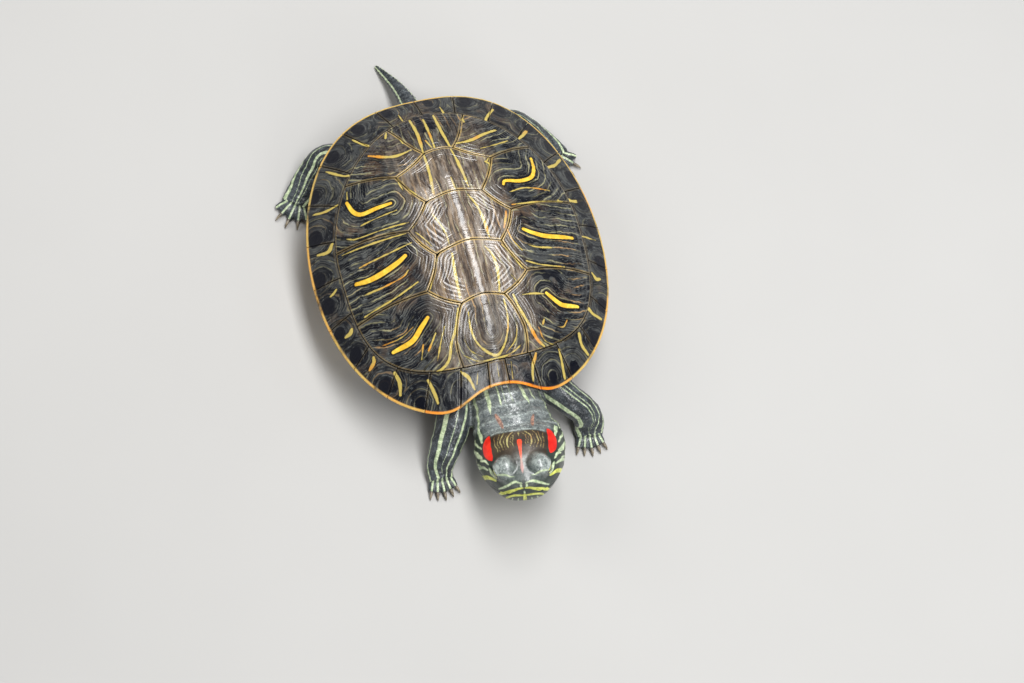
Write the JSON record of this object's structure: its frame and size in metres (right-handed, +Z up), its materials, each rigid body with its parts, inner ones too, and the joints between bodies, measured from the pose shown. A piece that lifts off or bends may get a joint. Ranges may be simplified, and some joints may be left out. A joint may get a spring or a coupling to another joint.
{
  "type": "red-eared slider turtle",
  "caption": "Life-size still model of a young red-eared slider turtle at rest, head raised and forelegs reaching forward.",
  "frame": {"origin": "on the floor under the middle of the shell, on the flat underside of the plastron", "axes": "+Z up, the head points along -Y, the turtle's left side is +X"},
  "size_m": [0.0956, 0.1496, 0.0379],
  "materials": {
    "carapace_scutes": "wet horn, dark olive grey with pale growth lines and yellow bars",
    "plastron": "yellow horn with dark blotches",
    "skin": "damp scaly skin, dark slate green with pale green and yellow stripes",
    "eyes": "wet, polished",
    "claws": "semi-gloss horn"
  },
  "bodies": {
    "root": {"scute_nuchal": "carapace_scutes", "scute_vertebral_1": "carapace_scutes", "scute_vertebral_2": "carapace_scutes", "scute_vertebral_3": "carapace_scutes", "scute_vertebral_4": "carapace_scutes", "scute_vertebral_5": "carapace_scutes", "scute_costal_left_1": "carapace_scutes", "scute_costal_left_2": "carapace_scutes", "scute_costal_left_3": "carapace_scutes", "scute_costal_left_4": "carapace_scutes", "scute_costal_right_1": "carapace_scutes", "scute_costal_right_2": "carapace_scutes", "scute_costal_right_3": "carapace_scutes", "scute_costal_right_4": "carapace_scutes", "scute_marginal_left_1": "carapace_scutes", "scute_marginal_left_2": "carapace_scutes", "scute_marginal_left_3": "carapace_scutes", "scute_marginal_left_4": "carapace_scutes", "scute_marginal_left_5": "carapace_scutes", "scute_marginal_left_6": "carapace_scutes", "scute_marginal_left_7": "carapace_scutes", "scute_marginal_left_8": "carapace_scutes", "scute_marginal_left_9": "carapace_scutes", "scute_marginal_left_10": "carapace_scutes", "scute_marginal_left_11": "carapace_scutes", "scute_marginal_left_12": "carapace_scutes", "scute_marginal_right_1": "carapace_scutes", "scute_marginal_right_2": "carapace_scutes", "scute_marginal_right_3": "carapace_scutes", "scute_marginal_right_4": "carapace_scutes", "scute_marginal_right_5": "carapace_scutes", "scute_marginal_right_6": "carapace_scutes", "scute_marginal_right_7": "carapace_scutes", "scute_marginal_right_8": "carapace_scutes", "scute_marginal_right_9": "carapace_scutes", "scute_marginal_right_10": "carapace_scutes", "scute_marginal_right_11": "carapace_scutes", "scute_marginal_right_12": "carapace_scutes", "plastron": "plastron", "bridge_left": "plastron", "bridge_right": "plastron", "trunk": "skin", "neck": "skin", "head": "skin", "jaw": "skin", "tail": "skin", "upper_arm_left": "skin", "forearm_left": "skin", "forefoot_left": "skin", "thigh_left": "skin", "shank_left": "skin", "hindfoot_left": "skin", "upper_arm_right": "skin", "forearm_right": "skin", "forefoot_right": "skin", "thigh_right": "skin", "shank_right": "skin", "hindfoot_right": "skin", "eye_left": "eyes", "eye_right": "eyes"}
  },
  "joints": []
}
